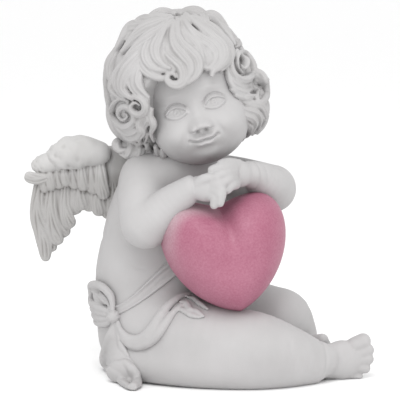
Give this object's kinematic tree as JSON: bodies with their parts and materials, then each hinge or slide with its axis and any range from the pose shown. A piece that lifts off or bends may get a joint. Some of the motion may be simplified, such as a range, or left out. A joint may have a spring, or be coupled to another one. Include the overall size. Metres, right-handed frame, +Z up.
{
  "type": "cherub figurine",
  "caption": "Seated winged cherub figurine in pale cast resin hugging a pink heart, with curled hair, a sash tied in a bow and a flat underside to stand on.",
  "frame": {"origin": "middle of the footprint's bounding box, on the surface the figurine stands on", "axes": "+Z up, -Y towards the viewer of the display side, +X to that viewer's right"},
  "size_m": [0.1144, 0.0875, 0.1184],
  "materials": {
    "body_resin": "matte off-white stone-filled casting resin with fine pinholes",
    "hair_resin": "matte off-white casting resin with a warm grey wash left in the grooves",
    "wing_resin": "matte off-white casting resin with a warm grey wash between the feathers",
    "cloth_resin": "matte off-white casting resin, modelled as folded cloth",
    "heart_paint": "casting resin sprayed dusty pink, speckled and fading to bare resin at its edge",
    "dowel_steel": "plain ground steel"
  },
  "bodies": {
    "root": {"torso": "body_resin", "head": "body_resin", "hair_cap": "hair_resin", "hair_fringe": "hair_resin", "right_arm": "body_resin", "left_arm": "body_resin", "right_leg": "body_resin", "left_leg": "body_resin", "heart": "heart_paint", "right_wing": "wing_resin", "left_wing": "wing_resin", "waist_sash": "cloth_resin", "sash_bow": "cloth_resin", "lap_swag": "cloth_resin", "hip_drape": "cloth_resin", "joint_dowels": "dowel_steel"}
  },
  "joints": []
}
